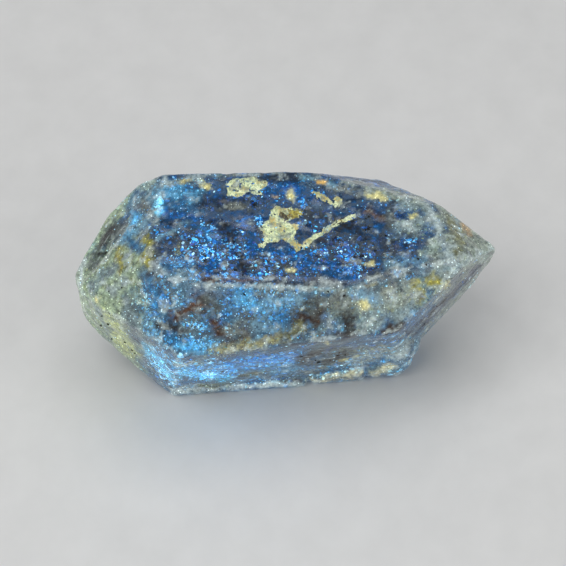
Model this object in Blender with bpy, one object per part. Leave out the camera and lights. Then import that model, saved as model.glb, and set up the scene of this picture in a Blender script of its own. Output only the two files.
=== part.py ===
"""Petroleum quartz: one natural quartz crystal with a point at each end, lying on a long face.

The crystal's long axis runs along X, with the sharp point towards +X, and it rests at z = 0
on its bottom prism face. Each flat face is one plane, given by its turn round the long axis,
its lean towards +X and its distance from the crystal's centre. Thin growth layers, and small
crystals that grew parallel to the main one, are fused to it and leave ledges and lumps.
Hollows and etch pits are cut into its faces. Lengths are in millimetres and angles in degrees.
"""

import math
import random

import bmesh
import bpy
from mathutils import Matrix, Vector
from mathutils.bvhtree import BVHTree

MM = 0.001
NAME = "quartz_crystal"

# Driving dimensions
AXIS_HEIGHT = 9.0
EDGE_ROUNDING = 0.14
ROUNDING_STEPS = 2
POINT_LEAN = 38.2
LAYER_END_LEAN = 72.0
BLOCK_SIZE = 80.0
FLOOR_DEPTH = 20.0

# Turn 0 faces the front, 90 the top, 180 the back and 270 the floor.
# Each face is (turn, lean, distance from the centre).
MAIN_FACES = {
    "top": (85, 3, 4.7),
    "front_upper": (30, -2.4, 7.3),
    "front_lower": (-30, 2.2, 6.9),
    "floor": (-90, 0, AXIS_HEIGHT),
    "back_lower": (210, 0, 6.6),
    "back_upper": (150, 2.4, 6.4),
    "point_top": (98, 36, 10.0),
    "point_front_upper": (30, POINT_LEAN, 13.1),
    "point_front_lower": (-25, 39, 10.12),
    "point_floor": (-90, POINT_LEAN, 11.0),
    "point_back_lower": (210, POINT_LEAN, 9.9),
    "point_back_upper": (150, 39.6, 9.95),
    "shoulder_back": (118, 15, 6.9),
    "shoulder_front": (30, 14.8, 8.5),
    "blunt_top": (96, -42, 9.45),
    "blunt_front_upper": (40, -40, 10.5),
    "blunt_front_lower": (-28, -41.6, 10.5),
    "blunt_floor": (-90, -POINT_LEAN, 12.2),
    "blunt_back_lower": (210, -POINT_LEAN, 9.7),
    "blunt_back_upper": (150, -POINT_LEAN, 10.9),
    "nose_upper": (70, -66, 12.8),
    "nose_lower": (0, -72, 13.35),
}

# Growth layers: how thick, from which x to which x, and on which faces
GROWTH_LAYERS = (
    (0.13, -7.4, 1.6, ("front_upper",)),
    (0.09, -5.6, 4.9, ("front_lower", "front_upper")),
    (0.06, 3.4, 7.6, ("front_upper", "shoulder_front")),
    (0.11, 0.4, 8.3, ("back_lower", "back_upper")),
    (0.16, -8.0, -1.2, ("back_lower",)),
    (0.07, -4.1, 3.0, ("back_upper",)),
    (0.10, -6.2, 3.1, ("top",)),
    (0.06, 1.1, 8.7, ("top", "shoulder_back")),
    (0.12, -13.4, -9.4, ("blunt_top", "blunt_back_upper")),
    (0.10, -12.6, -8.3, ("blunt_front_upper", "blunt_front_lower")),
    (0.15, -12.9, -8.8, ("blunt_back_lower", "blunt_floor")),
    (0.08, 9.6, 13.6, ("point_top", "point_back_upper")),
    (0.07, 8.8, 12.9, ("point_front_lower", "point_floor")),
    (0.12, 8.2, 12.2, ("point_back_lower",)),
)

# Side crystals: centre (y, z), distance of the prism faces, from x, to x, lean of the ends,
# and how round their edges are
SIDE_CRYSTALS = {
    "foot_left": ((-1.8, 0.6), 1.68, -7.9, 1.8, 70, 0.18),
    "foot_middle": ((-1.9, 1.6), 1.95, 2.2, 6.2, 60, 0.5),
    "foot_right": ((-2.1, 2.0), 1.9, 6.2, 9.1, 56, 0.6),
    "knob_right": ((-3.2, 3.7), 1.55, 6.8, 9.2, 52, 0.55),
    "ridge_back": ((3.3, 10.4), 2.6, 1.5, 5.4, 36, EDGE_ROUNDING),
    "heel_back": ((3.7, 3.9), 1.5, -6.8, 3.6, 52, 0.3),
    "side_back_right": ((4.1, 6.3), 2.0, 3.9, 8.8, 50, 0.25),
    "side_back_left": ((3.2, 8.3), 3.75, -9.6, -4.4, 44, 0.2),
    "shoulder_left": ((-1.2, 9.2), 3.9, -10.2, -7.9, 44, EDGE_ROUNDING),
    "toe_left": ((-1.4, 5.2), 2.6, -9.6, -7.2, 44, EDGE_ROUNDING),
    "spur_under": ((0.6, 3.2), 2.3, 7.4, 9.6, 48, 0.3),
}

# Hollows: place along x, turn round the axis, length, width, depth, turn on the face
HOLLOWS = (
    (-12.0, 118, 2.5, 0.85, 0.30, 62),
    (-11.9, 92, 0.55, 0.45, 0.30, 0),
    (-12.9, 12, 0.60, 0.45, 0.16, 30),
    (-11.6, -8, 0.85, 0.50, 0.18, 70),
    (12.9, 74, 1.2, 0.55, 0.16, 20),
    (-10.4, 160, 2.0, 1.1, 0.40, 40),
    (-3.4, 128, 2.4, 0.8, 0.26, 8),
    (10.4, 170, 1.6, 0.9, 0.35, 60),
    (1.4, 182, 1.1, 1.7, 0.24, 0),
    (-9.6, 255, 1.9, 1.3, 0.40, 15),
    (7.4, 214, 1.3, 0.9, 0.30, 75),
    (-4.2, 262, 2.4, 1.4, 0.25, 30),
    (3.2, 276, 1.8, 2.1, 0.22, 10),
)
HOLLOW_DETAIL = 2

# Small three-cornered etch pits, scattered over the whole crystal
PIT_COUNT = 44
PIT_SEED = 7
PIT_SIZES = (0.22, 0.55)
PIT_DEPTH = 0.34
PIT_REACH = (-12.6, 12.8)
RESTING_TURN = 270
RESTING_GUARD = 40


def face_normal(turn, lean):
    """Outward direction of a face with this turn round the long axis and lean towards +X."""
    turn = math.radians(turn)
    lean = math.radians(lean)
    return Vector((
        math.sin(lean),
        -math.cos(turn) * math.cos(lean),
        math.sin(turn) * math.cos(lean),
    ))


def collection(name):
    """A new collection in the scene."""
    group = bpy.data.collections.new(name)
    bpy.context.scene.collection.children.link(group)
    return group


def cut_crystal(name, centre, faces, rounding, group):
    """A closed crystal: a block cut by each face's plane, with its edges rounded."""
    centre = Vector(centre) * MM
    mesh = bpy.data.meshes.new(name)
    bm = bmesh.new()
    bmesh.ops.create_cube(bm, size=BLOCK_SIZE * MM, matrix=Matrix.Translation(centre))
    for turn, lean, distance in faces:
        normal = face_normal(turn, lean)
        cut = bmesh.ops.bisect_plane(
            bm,
            geom=bm.verts[:] + bm.edges[:] + bm.faces[:],
            dist=1e-8,
            plane_co=centre + normal * distance * MM,
            plane_no=normal,
            clear_outer=True,
        )
        rim = [item for item in cut["geom_cut"] if isinstance(item, bmesh.types.BMEdge)]
        if rim:
            bmesh.ops.contextual_create(bm, geom=rim)
    bmesh.ops.bevel(
        bm,
        geom=bm.edges[:],
        offset=rounding * MM,
        segments=ROUNDING_STEPS,
        profile=0.5,
        affect="EDGES",
        clamp_overlap=True,
    )
    bmesh.ops.remove_doubles(bm, verts=bm.verts[:], dist=0.002 * MM)
    bm.to_mesh(mesh)
    bm.free()
    piece = bpy.data.objects.new(name, mesh)
    group.objects.link(piece)
    return piece


def as_cutter(piece):
    """Mark an object as a shape that only cuts or joins another."""
    piece.hide_render = True
    piece.display_type = "WIRE"


def growth_layer(number, thickness, start, end, grown, group):
    """The main crystal between two x values, with some of its faces grown outwards."""
    middle = (start + end) / 2
    faces = []
    for name, (turn, lean, distance) in MAIN_FACES.items():
        extra = thickness if name in grown else -thickness
        shift = middle * math.sin(math.radians(lean))
        faces.append((turn, lean, distance + extra - shift))
    for turn in range(-60, 300, 60):
        for lean, reach in ((LAYER_END_LEAN, end - middle), (-LAYER_END_LEAN, middle - start)):
            slope = math.radians(LAYER_END_LEAN)
            far = reach * math.sin(slope) + MAIN_FACES["front_upper"][2] * math.cos(slope)
            faces.append((turn, lean, far))
    centre = (middle, 0, AXIS_HEIGHT)
    piece = cut_crystal(f"layer_{number}", centre, faces, EDGE_ROUNDING, group)
    as_cutter(piece)
    return piece


def side_crystal(name, centre, radius, start, end, lean, rounding, group):
    """A small six-sided crystal parallel to the main one, with six faces at each end."""
    middle = (start + end) / 2
    slope = math.radians(lean)
    far = (end - middle) * math.sin(slope) + radius * math.cos(slope)
    faces = []
    for turn in range(-90, 270, 60):
        faces.append((turn, 0, radius))
        faces.append((turn, lean, far))
        faces.append((turn, -lean, far))
    piece = cut_crystal(name, (middle, *centre), faces, rounding, group)
    as_cutter(piece)
    return piece


def surface_of(crystal):
    """The crystal's surface as built so far, for finding points on it."""
    depsgraph = bpy.context.evaluated_depsgraph_get()
    return BVHTree.FromObject(crystal, depsgraph)


def place_on(surface, x, turn, spin):
    """A frame on the surface, straight out from the long axis, with Z along the face's normal."""
    outward = face_normal(turn, 0)
    axis = Vector((x, 0, AXIS_HEIGHT)) * MM
    point, normal, _, _ = surface.ray_cast(axis + outward * BLOCK_SIZE * MM, -outward)
    along = (Vector((1, 0, 0)) - normal * normal.x).normalized()
    across = normal.cross(along)
    frame = Matrix((along, across, normal)).transposed().to_4x4()
    return Matrix.Translation(point) @ frame @ Matrix.Rotation(math.radians(spin), 4, "Z")


def cutter_from(name, bm, group):
    """Turn a closed bmesh into a cutter."""
    mesh = bpy.data.meshes.new(name)
    bm.to_mesh(mesh)
    bm.free()
    piece = bpy.data.objects.new(name, mesh)
    group.objects.link(piece)
    as_cutter(piece)
    return piece


def hollow(name, frame, length, width, depth, group):
    """A stretched ball that cuts a shallow hollow."""
    stretch = Matrix.Diagonal((length / 2 * MM, width / 2 * MM, depth * MM, 1.0))
    bm = bmesh.new()
    bmesh.ops.create_icosphere(
        bm, subdivisions=HOLLOW_DETAIL, radius=1.0, matrix=frame @ stretch
    )
    return cutter_from(name, bm, group)


def etch_pit(name, frame, size, group):
    """A three-sided spike that cuts a pit narrowing inwards."""
    depth = size * PIT_DEPTH * MM
    bm = bmesh.new()
    bmesh.ops.create_cone(
        bm,
        cap_ends=True,
        segments=3,
        radius1=0.0,
        radius2=size * MM,
        depth=2 * depth,
        matrix=frame,
    )
    bmesh.ops.remove_doubles(bm, verts=bm.verts[:], dist=1e-7)
    return cutter_from(name, bm, group)


def floor_block(group):
    """A block below z = 0, which trims the resting face flat."""
    size = Matrix.Diagonal((BLOCK_SIZE * MM, BLOCK_SIZE * MM, FLOOR_DEPTH * MM, 1.0))
    lower = Matrix.Translation((0, 0, -FLOOR_DEPTH * MM / 2))
    bm = bmesh.new()
    bmesh.ops.create_cube(bm, size=1.0, matrix=lower @ size)
    return cutter_from("floor_block", bm, group)


def boolean(target, other, operation):
    """Join another shape to the target, or cut it away."""
    modifier = target.modifiers.new(f"{operation.lower()} {other.name}", "BOOLEAN")
    modifier.operation = operation
    modifier.solver = "EXACT"
    modifier.object = other


def quartz_material():
    """Grey-blue quartz."""
    material = bpy.data.materials.new("petroleum quartz")
    material.use_nodes = True
    shader = material.node_tree.nodes["Principled BSDF"]
    shader.inputs["Base Color"].default_value = (0.34, 0.42, 0.48, 1.0)
    shader.inputs["Roughness"].default_value = 0.22
    shader.inputs["Metallic"].default_value = 0.0
    shader.inputs["IOR"].default_value = 1.544
    return material


def centre_footprint(pieces):
    """Move every shape so that the finished crystal's box stands centred on the origin."""
    crystal = pieces[0]
    depsgraph = bpy.context.evaluated_depsgraph_get()
    corners = [Vector(corner) for corner in crystal.evaluated_get(depsgraph).bound_box]
    low = Vector([min(corner[axis] for corner in corners) for axis in range(3)])
    high = Vector([max(corner[axis] for corner in corners) for axis in range(3)])
    shift = Matrix.Translation((-(low.x + high.x) / 2, -(low.y + high.y) / 2, -low.z))
    for piece in pieces:
        piece.data.transform(shift)


def main():
    for old in list(bpy.data.objects):
        bpy.data.objects.remove(old)
    part = collection("petroleum_quartz")
    cutters = collection("cutters")

    centre = (0, 0, AXIS_HEIGHT)
    crystal = cut_crystal(NAME, centre, MAIN_FACES.values(), EDGE_ROUNDING, part)
    crystal.data.materials.append(quartz_material())
    pieces = [crystal]

    for number, (thickness, start, end, grown) in enumerate(GROWTH_LAYERS):
        pieces.append(growth_layer(number, thickness, start, end, grown, cutters))
        boolean(crystal, pieces[-1], "UNION")
    for name, dimensions in SIDE_CRYSTALS.items():
        pieces.append(side_crystal(name, *dimensions, cutters))
        boolean(crystal, pieces[-1], "UNION")

    surface = surface_of(crystal)
    for number, (x, turn, length, width, depth, spin) in enumerate(HOLLOWS):
        frame = place_on(surface, x, turn, spin)
        pieces.append(hollow(f"hollow_{number}", frame, length, width, depth, cutters))
        boolean(crystal, pieces[-1], "DIFFERENCE")
    draw = random.Random(PIT_SEED)
    for number in range(PIT_COUNT):
        turn = RESTING_TURN + draw.uniform(RESTING_GUARD, 360 - RESTING_GUARD)
        frame = place_on(surface, draw.uniform(*PIT_REACH), turn, draw.uniform(0, 120))
        pieces.append(etch_pit(f"pit_{number}", frame, draw.uniform(*PIT_SIZES), cutters))
        boolean(crystal, pieces[-1], "DIFFERENCE")
    pieces.append(floor_block(cutters))
    boolean(crystal, pieces[-1], "DIFFERENCE")
    centre_footprint(pieces)


main()
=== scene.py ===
"""Looks of the petroleum quartz crystal: its skin, and what glows and darkens inside it.

The crystal fluoresces under ultraviolet light, so its inclusions give off blue, cyan and
yellow light; here that glow is painted in, as emission of the skin, the flakes and the oil
films. Places marked on the photograph are in pixels of its 566 x 566 frame. Each is turned
into a point on or inside the crystal where the camera sees it, and it stays there in every
other view.
"""

import math
import random

import bmesh
import bpy
import numpy as np
from mathutils import Matrix, Vector, noise
from mathutils.bvhtree import BVHTree


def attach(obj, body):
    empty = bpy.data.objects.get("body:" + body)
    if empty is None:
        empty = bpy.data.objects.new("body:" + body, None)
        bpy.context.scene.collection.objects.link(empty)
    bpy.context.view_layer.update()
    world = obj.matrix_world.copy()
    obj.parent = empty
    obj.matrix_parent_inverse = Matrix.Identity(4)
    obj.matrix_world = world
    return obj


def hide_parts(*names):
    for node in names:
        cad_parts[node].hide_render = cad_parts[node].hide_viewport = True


MM = 0.001
NODE = "quartz_crystal"

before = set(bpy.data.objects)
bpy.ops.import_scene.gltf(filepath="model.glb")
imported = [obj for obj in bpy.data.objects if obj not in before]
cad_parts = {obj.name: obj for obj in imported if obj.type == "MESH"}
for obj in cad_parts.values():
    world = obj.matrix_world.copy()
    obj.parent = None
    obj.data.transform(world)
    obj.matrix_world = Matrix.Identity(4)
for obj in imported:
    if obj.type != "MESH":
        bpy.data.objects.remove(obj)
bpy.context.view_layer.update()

# Camera, in millimetres and degrees
PHOTO_PIXELS = 566
MM_PER_PIXEL = 0.0718
AZIMUTH = -5.75
ELEVATION = 44.0
LENS = 200.0
SENSOR = 36.0
TARGET = Vector((-0.2, 0.31, 7.35))
DISTANCE = MM_PER_PIXEL * PHOTO_PIXELS / SENSOR * LENS

# Quartz: light lost per metre of path in red, green and blue
QUARTZ_IOR = 1.544
ABSORBED = (310.0, 165.0, 95.0)
ABSORPTION = 600.0

# Shape of the skin. Lengths are in millimetres.
VOXEL = 0.148
SMOOTHING_STEPS = 6
RELIEF = 0.055
RELIEF_SCALE = 1.1
GROWTH_LINES = 0.012
LINE_SPACING = 0.38
LINE_STRETCH = 22
PRISM_SLOPE = 3
REST_FADE = 0.3

# How many times longer paint and grain are along the line of sight of the photograph
DEPTH_STRETCH = 3.0
GRAIN_STRETCH = 2.4

# Grains of the paint: size in millimetres, octaves, and any stretch along x, y and z
GRAINS = {
    "broad": (2.6, 2),
    "middle": (0.9, 3),
    "fine": (0.32, 2),
    "tiny": (0.2, 2),
    "streaks": (0.5, 3, (3, 1, 1)),
}

# Zones of the paint, each from the value where it begins to the value where it is full
UPPER_FACES = (0.6, 0.95)
UNDERSIDE = (-0.1, 0.4)
LEFT_END = (9.8, 11.6)
RIGHT_END = (8.4, 11.2)
BLUE_PATCHES = (-0.1, 0.4)
GREY_PATCHES = (0.1, 0.5)
NAVY_PATCHES = (-0.2, 0.3)
BROWN_STREAKS = (0.36, 0.6)
OLIVE_PATCHES = (0.1, 0.5)
STAIN_RIM = (0.2, 1.6)
RIDGE_RISE = (0.012, 0.034)

# How many steps from vertex to vertex the surroundings of a ridge reach
RIDGE_STEPS = 8

# Milkiness of the zones
SIDE_MILK = 0.45
UPPER_CLEARNESS = 0.22
UNDERSIDE_CLEARNESS = 0.45
LEFT_MILK = 0.7
RIGHT_MILK = 0.62
# Milkiness of the pale ridges, partly wear and partly a painted rim highlight
RIDGE_WEAR_AND_HIGHLIGHT_MILK = 0.8

# Ragged edges: offsets of the three noises, and greatest shift and size in millimetres
DRIFT_OFFSETS = (Vector((9.3, -1.5, -7.9)), Vector((0.4, 0.7, 0.2)), Vector((6.3, 0.2, -2.7)))
WARP = 0.55
WARP_SIZE = 0.8
WARP_SMALL = 0.2
WARP_SMALL_SIZE = 0.27

# Patterns in the skin's material: grain size in millimetres, detail and roughness
MOTTLE = (0.6, 5.0, 0.65)
GRAIN = (0.3, 4.0, 0.7)
DUST = (0.11, 3.0, 0.7)
PITS = (0.22, 4.0, 0.6)
SPECK_CLUMPS = (0.9, 3.0, 0.6)
PIT_DEPTH = 0.03

# Specks in the skin's material: cell size in millimetres, share of the cells that hold one,
# and width of the soft rim round their core
BRIGHT_SPECKS = (0.17, 0.34, 0.12)
DARK_SPECKS = (0.2, 0.2, 0.12)
# Painted glints: specks that give off light in the glint colour
PAINTED_GLINT_SPECKS = (0.24, 0.08, 0.1)
SPECK_CORE = 0.16

# What the patterns add to the skin's milkiness
MILK_LEVEL = -0.18
MILK_STRENGTH = 0.8
MOTTLE_MILK = 0.36
BRIGHT_MILK = 0.4
DARK_MILK = 0.5

# What the patterns add to the brightness of the skin's haze
SHADE_LEVEL = 0.32
GRAIN_SHADE = 0.74
DUST_SHADE = 0.45
BRIGHT_SHADE = 2.3
DARK_SHADE = -0.85
# Share of the haze colour that the skin gives off as a painted glow, standing in for fluorescence
PAINTED_SKIN_GLOW = 0.62

# Lights: place and size in metres, and power in watts
LIGHTS = {
    "key": ((-0.16, -0.14, 0.3), 0.26, 0.66),
    "fill": ((0.25, -0.22, 0.2), 0.3, 0.3),
    "back": ((0.03, 0.08, 0.42), 0.3, 0.42),
}
LIGHT_TARGET = Vector((0, 0, 0.007))
SURROUNDINGS = (0.92, 0.94, 0.97)
SURROUNDINGS_STRENGTH = 0.24

# Floor, in metres
FLOOR_SIZE = 0.8
FLOOR_GAP = 0.00003
FLOOR_SHADES = ((0.70, 0.70, 0.69), (0.74, 0.74, 0.73))

# Colours of the quartz skin and of the haze under it. These colours, and those of the flakes
# and films, are as picked on screen, from 0 to 255.
NAVY = (14, 46, 72)
COBALT = (22, 94, 150)
BLUE = (60, 128, 175)
SKY = (92, 165, 205)
CYAN = (120, 210, 245)
GREY_BLUE = (112, 150, 168)
GREY = (130, 150, 150)
PALE = (185, 200, 198)
SAGE = (150, 170, 158)
LEMON = (202, 214, 146)
CREAM = (205, 200, 140)
OLIVE = (146, 142, 62)
TAN = (170, 145, 108)
BROWN = (78, 58, 44)
RUST = (84, 60, 46)
DARK = (24, 26, 28)
INK = (38, 54, 74)
SLATE = (64, 76, 88)
COAL = (46, 46, 46)
UMBER = (50, 38, 30)
SMOKE = (96, 104, 100)
STONE = (120, 128, 122)
STEEL = (98, 124, 146)
MIST = (156, 172, 172)
MOSS = (116, 118, 86)
STRAW = (152, 150, 114)
OCHRE = (205, 165, 92)
BONE = (206, 204, 168)
CELADON = (161, 181, 150)
ASH = (148, 160, 146)
SHEEN_TINT = (200, 225, 235)
CLEAR_TINT = (205, 225, 235)
# Colour of the painted glints that the skin gives off as light
PAINTED_GLINT = (170, 225, 255)

# Stains on the skin: from x, y to x, y and radius in pixels, colour, milkiness in percent
STAINS = (
    # left end
    (92, 262, 116, 226, 9, SMOKE, 60), (100, 247, 113, 229, 4, COAL, 85),
    (99, 254, 106, 252, 2.5, DARK, 85), (120, 250, 119, 272, 4.5, OLIVE, 75),
    (144, 238, 145, 260, 8, OLIVE, 85), (80, 288, 84, 262, 4, PALE, 80),
    (92, 285, 110, 270, 7, GREY, 60), (112, 290, 124, 280, 5, MIST, 80),
    (104, 316, 130, 352, 11.5, LEMON, 100), (94, 302, 108, 330, 5, SAGE, 80),
    (126, 300, 136, 330, 7, GREY, 60), (97, 298, 97, 300, 3.4, CREAM, 100),
    # upper left facets
    (134, 204, 158, 190, 9, GREY_BLUE, 70), (120, 240, 150, 215, 8, GREY_BLUE, 65),
    (124, 259, 157, 217, 2.4, MIST, 65), (140, 186, 152, 184, 6, SAGE, 70),
    (140, 205, 154, 212, 6, STONE, 65), (128, 232, 136, 216, 5, SKY, 70),
    # The CYAN stain at 160, 196 is partly a painted glint
    (130, 240, 140, 250, 5, BLUE, 50), (160, 196, 160, 212, 5, CYAN, 95),
    (166, 190, 198, 196, 8, SKY, 65), (165, 184, 200, 178, 5, GREY, 70),
    (170, 205, 200, 210, 5, BLUE, 50), (158, 238, 190, 222, 3.2, GREY_BLUE, 70),
    (168, 215, 198, 218, 4, COBALT, 50), (162, 244, 180, 238, 4, SLATE, 50),
    (178, 252, 180, 246, 4, MOSS, 60),
    # upper face
    (200, 204, 240, 203, 7, INK, 50), (228, 206, 246, 207, 4, STONE, 70),
    (272, 186, 300, 192, 7, COBALT, 50), (262, 180, 300, 176, 4, INK, 60),
    (222, 228, 233, 236, 6, DARK, 85), (240, 258, 246, 270, 5, DARK, 85),
    (200, 226, 215, 240, 6, BLUE, 40), (165, 262, 190, 266, 6, BLUE, 50),
    (250, 245, 300, 255, 8, COBALT, 45), (204, 268, 216, 262, 6, COBALT, 50),
    (300, 215, 330, 212, 7, SLATE, 45), (312, 205, 330, 210, 4, STEEL, 50),
    (340, 225, 356, 227, 4.5, DARK, 85), (352, 230, 370, 238, 4, DARK, 85),
    (310, 235, 326, 240, 4, COAL, 85), (366, 213, 384, 218, 5, BROWN, 85),
    (386, 212, 392, 224, 5, SMOKE, 70), (396, 205, 399, 214, 5, NAVY, 55),
    (376, 226, 380, 236, 4, COBALT, 50), (380, 240, 392, 252, 6, SLATE, 50),
    (404, 268, 414, 274, 3, DARK, 85), (300, 264, 350, 274, 7, COBALT, 50),
    # rims of the upper face
    (206, 176, 262, 175, 2.4, STONE, 75), (300, 176, 341, 188, 3, GREY_BLUE, 85),
    (341, 190, 378, 194, 7, STONE, 75), (310, 172, 338, 177, 3, INK, 60),
    (372, 190, 416, 200, 8, ASH, 80), (340, 182, 372, 184, 3, STONE, 70),
    (196, 280, 250, 280, 2.2, BROWN, 85), (250, 283, 300, 284, 2, SLATE, 50),
    (306, 283, 366, 284, 4, SLATE, 70), (190, 284, 310, 288, 2.4, MIST, 95),
    (310, 288, 342, 292, 2.2, GREY, 90), (342, 292, 376, 284, 2, STRAW, 80),
    (368, 278, 396, 270, 5, STONE, 70),
    # right end
    (398, 232, 424, 222, 9, GREY, 75), (400, 205, 424, 210, 6, GREY, 75),
    (412, 216, 416, 215, 3, CREAM, 90), (430, 206, 440, 236, 4.5, MIST, 90),
    (440, 236, 452, 262, 6, MIST, 90), (442, 206, 452, 214, 4, STRAW, 80),
    (449, 221, 461, 242, 4.5, MOSS, 85), (456, 252, 464, 262, 4, MOSS, 80),
    (462, 224, 470, 234, 3.5, TAN, 85), (466, 262, 488, 254, 6, SAGE, 85),
    (424, 252, 436, 246, 5, SAGE, 85), (390, 262, 425, 262, 6, GREY_BLUE, 65),
    # The thin MIST line from 412, 344 to 492, 260 runs along the lower right outline and is partly
    # painted rim light
    (440, 272, 458, 268, 6, GREY, 80), (412, 344, 492, 260, 1.4, MIST, 90),
    (408, 334, 478, 266, 4.6, INK, 75), (424, 322, 444, 300, 4, COAL, 85),
    (416, 334, 474, 272, 4.2, INK, 90), (420, 298, 416, 286, 8, OLIVE, 100),
    (414, 300, 420, 296, 3.5, RUST, 85), (430, 282, 436, 280, 6, OLIVE, 100),
    (390, 292, 400, 300, 8, STRAW, 80), (404, 290, 380, 304, 9, GREY, 75),
    (447, 284, 448, 286, 3.5, CREAM, 95),
    # front upper face, left to right
    (330, 308, 405, 298, 14, ASH, 65), (296, 312, 330, 308, 9, SMOKE, 60),
    (148, 285, 160, 300, 8, BLUE, 60), (150, 318, 156, 345, 8, GREY_BLUE, 70),
    (160, 270, 190, 280, 7, GREY_BLUE, 60), (190, 290, 230, 296, 6, STEEL, 65),
    (178, 315, 204, 302, 8, RUST, 85), (160, 325, 180, 330, 6, COAL, 85),
    (212, 322, 224, 336, 7, BROWN, 85), (208, 300, 216, 310, 6, SMOKE, 65),
    (240, 298, 260, 306, 10, SKY, 75), (270, 304, 292, 302, 10, GREY_BLUE, 75),
    (230, 330, 244, 334, 6, STONE, 65), (262, 324, 280, 330, 7, GREY_BLUE, 70),
    (298, 325, 324, 313, 7, UMBER, 100), (304, 305, 322, 300, 5, SMOKE, 70),
    (280, 341, 300, 331, 7, MOSS, 65), (328, 318, 330, 336, 6, STEEL, 65),
    (347, 314, 350, 333, 6, COAL, 95), (336, 298, 344, 306, 6, STONE, 70),
    (356, 290, 376, 298, 7, GREY_BLUE, 80), (362, 302, 364, 306, 4, CREAM, 85),
    (366, 326, 380, 314, 9, GREY, 85), (386, 331, 401, 327, 7.5, UMBER, 100),
    (396, 318, 414, 306, 6, GREY, 75),
    # front lower face, left to right
    (168, 362, 300, 368, 9, SKY, 75), (345, 352, 400, 346, 8, ASH, 75),
    # The CYAN patches from 148, 350 and from 184, 374 are partly painted glints
    (148, 350, 170, 376, 8, CYAN, 95), (178, 346, 214, 350, 7, SKY, 75),
    (176, 366, 200, 362, 5, GREY, 75), (184, 374, 226, 378, 6.5, CYAN, 95),
    (215, 352, 276, 341, 6, STRAW, 70), (232, 364, 300, 354, 6, BLUE, 85),
    (240, 376, 262, 372, 4, MOSS, 75), (302, 361, 318, 353, 9, UMBER, 100),
    (322, 366, 348, 352, 8, DARK, 100), (300, 372, 320, 370, 5, STONE, 75),
    (326, 343, 327, 344, 3, BONE, 90), (356, 366, 378, 352, 8, MIST, 95),
    (376, 374, 388, 366, 5.5, BONE, 100), (392, 354, 402, 348, 8, MIST, 95),
    # The PALE strip from 172, 389 and the BONE strip from 310, 380 run along the bottom outline and
    # are partly painted rim light
    (346, 344, 400, 334, 4, STEEL, 70), (172, 389, 296, 384, 4, PALE, 100),
    (200, 386, 230, 384, 3, MOSS, 80), (310, 380, 360, 373, 4.4, BONE, 100),
    # yellow spots
    (203, 185, 209, 187, 4.5, CREAM, 95), (180, 182, 189, 181, 3, STRAW, 90),
    (290, 195, 291, 195, 5.5, CREAM, 95), (272, 197, 276, 196, 2, TAN, 90),
    (318, 182, 325, 183, 2.8, OCHRE, 95), (367, 194, 371, 194, 3.4, CREAM, 95),
    (377, 195, 384, 198, 4, CREAM, 95), (368, 264, 373, 264, 3, CREAM, 95),
    (286, 270, 295, 270, 2.6, CREAM, 95), (342, 360, 346, 359, 3, CREAM, 90),
    (355, 357, 358, 356, 2.4, CREAM, 90),
)

# Shape of a flake: corners of its rim, width in parts of its length, half its thickness in
# parts of its width, and unevenness of its rim
RING_POINTS = 6
FLAKE_WIDTHS = (0.45, 0.9)
FLAKE_BULGE = 0.22
UNEVENNESS = (0.7, 1.15)

# How far flakes are kept under the skin and above the ground, in parts of their size, their
# lean towards the camera, their least depth in millimetres, and the seed of their draws
KEPT_UNDER = 0.6
KEPT_UP = 1.2
FLAKE_LEAN = 0.8
SHALLOWEST = 0.06
FLAKE_SEED = 11

# Flakes: painted glow colour, body colour, painted glow strength
FLAKES = {
    "deep": ((8, 92, 178), (10, 50, 100), 1.3),
    "blue": ((30, 152, 235), (20, 90, 150), 1.8),
    "cyan": ((95, 205, 250), (60, 140, 190), 2.3),
    "white": ((200, 240, 250), (190, 215, 225), 2.8),
    "violet": ((90, 70, 225), (50, 40, 120), 1.0),
    "grey": ((125, 160, 175), (120, 145, 155), 0.6),
    "yellow": ((205, 198, 125), (190, 182, 120), 0.8),
    "orange": ((205, 150, 80), (170, 120, 70), 0.5),
    "brown": ((60, 42, 30), (66, 48, 36), 0.1),
    "navy": ((8, 20, 44), (10, 18, 34), 0.1),
    "black": ((6, 6, 8), (12, 12, 14), 0.0),
}

# What each slot of the part is made of
SLOTS = {
    "blue_fluorescence": ("deep", "blue", "cyan", "white", "violet", "grey"),
    "petroleum": ("yellow", "orange"),
    "bitumen": ("brown", "navy", "black"),
}

# Mixtures of flakes, by share
MIXTURES = {
    "dense blue": dict(deep=4, blue=4, cyan=2.2, white=1.1, violet=0.25, navy=4, black=1.2),
    "deep blue": dict(deep=5, blue=2, cyan=0.5, white=0.2, violet=0.25, navy=4),
    "bright blue": dict(deep=2, blue=6, cyan=2, white=0.6),
    "cyan": dict(blue=3, cyan=4, white=1.4, grey=2),
    "white cyan": dict(blue=1, cyan=4, white=4),
    "pale blue": dict(blue=3, cyan=2, grey=4, white=0.4, deep=1.5),
    "bitumen": dict(black=5, brown=4, navy=1),
    "rust": dict(brown=6, orange=0.25, black=3),
    "warm grey": dict(grey=4, yellow=2, brown=1, black=0.6),
    "yellow": dict(yellow=6, orange=1, grey=1),
    "black": dict(black=1),
    "gaps": dict(navy=6, black=3, brown=2, deep=1.5),
    "seam": dict(grey=5, cyan=2, white=1),
    "haze": dict(grey=4, cyan=1.6, blue=2.4, deep=1, brown=0.8, navy=1.4, white=0.5),
    "pale rim": dict(grey=4, white=1, cyan=1, yellow=1),
    "cream": dict(yellow=4, grey=2, brown=0.5),
}

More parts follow.
